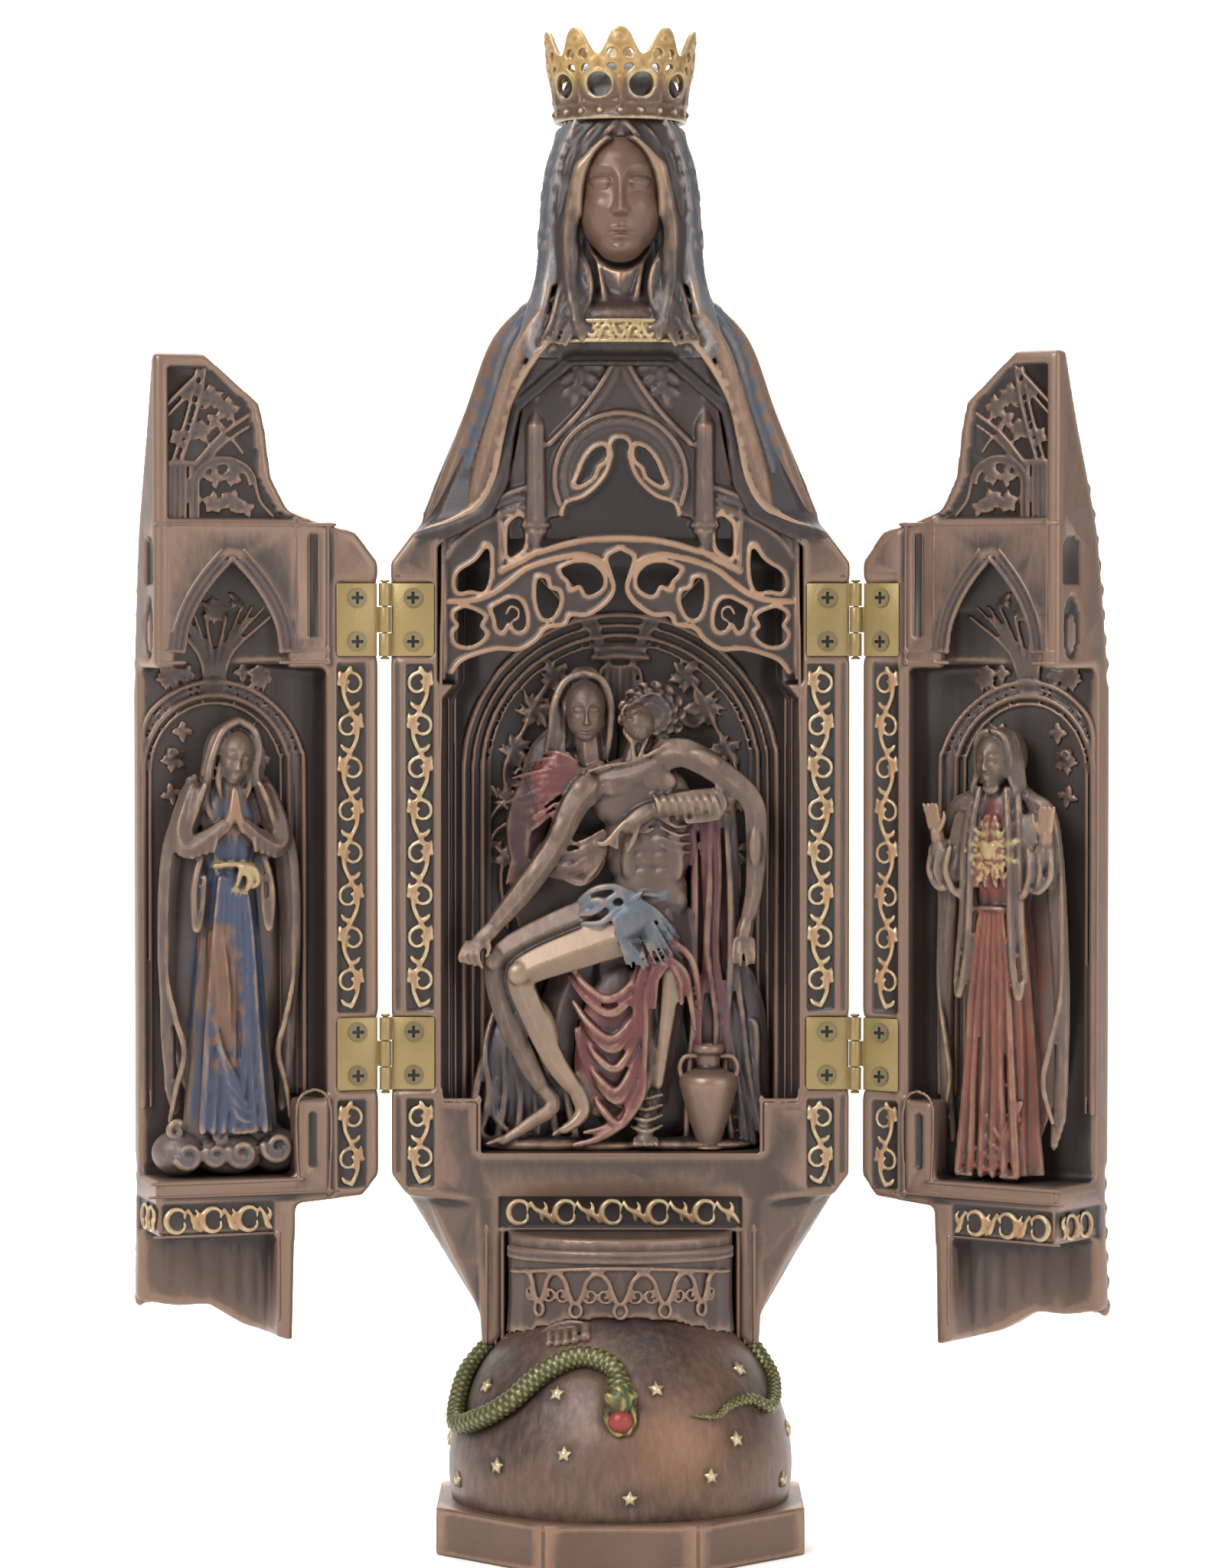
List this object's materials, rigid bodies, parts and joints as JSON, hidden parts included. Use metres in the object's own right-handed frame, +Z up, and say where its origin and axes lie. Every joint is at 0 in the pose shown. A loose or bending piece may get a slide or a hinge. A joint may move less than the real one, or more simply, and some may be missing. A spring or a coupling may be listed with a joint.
{
  "type": "triptych altarpiece",
  "caption": "Opening Madonna statuette: a crowned figure on a half globe whose body opens in two hinged doors on a niche with a relief.",
  "frame": {"origin": "middle of the plinth's underside", "axes": "+X to the viewer's right, +Y to the back, +Z up; the doors are at rest as they stand open"},
  "size_m": [0.1875, 0.07, 0.2904],
  "materials": {
    "bronze_resin": "dark bronze patina, rubbed copper on the high places",
    "globe_resin": "rubbed copper bronze",
    "gilt_resin": "antique gold over dark bronze",
    "hinge_brass": "aged, satin",
    "screw_steel": "brass-plated, worn"
  },
  "bodies": {
    "shrine": {"globe_base": "globe_resin", "body": "bronze_resin", "crown": "gilt_resin", "canopy": "bronze_resin", "pieta": "bronze_resin", "body_leaf_lower_left": "hinge_brass", "pin_lower_left": "hinge_brass", "body_screw_lower_left_1": "screw_steel", "body_screw_lower_left_2": "screw_steel", "body_leaf_upper_left": "hinge_brass", "pin_upper_left": "hinge_brass", "body_screw_upper_left_1": "screw_steel", "body_screw_upper_left_2": "screw_steel", "body_leaf_lower_right": "hinge_brass", "pin_lower_right": "hinge_brass", "body_screw_lower_right_1": "screw_steel", "body_screw_lower_right_2": "screw_steel", "body_leaf_upper_right": "hinge_brass", "pin_upper_right": "hinge_brass", "body_screw_upper_right_1": "screw_steel", "body_screw_upper_right_2": "screw_steel"},
    "left_door": {"door_left": "bronze_resin", "figure_left": "bronze_resin", "door_leaf_lower_left": "hinge_brass", "door_screw_lower_left_1": "screw_steel", "door_screw_lower_left_2": "screw_steel", "door_leaf_upper_left": "hinge_brass", "door_screw_upper_left_1": "screw_steel", "door_screw_upper_left_2": "screw_steel"},
    "right_door": {"door_right": "bronze_resin", "figure_right": "bronze_resin", "door_leaf_lower_right": "hinge_brass", "door_screw_lower_right_1": "screw_steel", "door_screw_lower_right_2": "screw_steel", "door_leaf_upper_right": "hinge_brass", "door_screw_upper_right_1": "screw_steel", "door_screw_upper_right_2": "screw_steel"}
  },
  "joints": [
    {"name": "left_door_hinge", "type": "hinge", "parent": "shrine", "child": "left_door", "pos_m": [-0.0451, 0, 0.133], "axis": [0, 0, 1], "range_deg": [-18, 162]},
    {"name": "right_door_hinge", "type": "hinge", "parent": "shrine", "child": "right_door", "pos_m": [0.0451, 0, 0.133], "axis": [0, 0, 1], "range_deg": [-144, 36]}
  ]
}
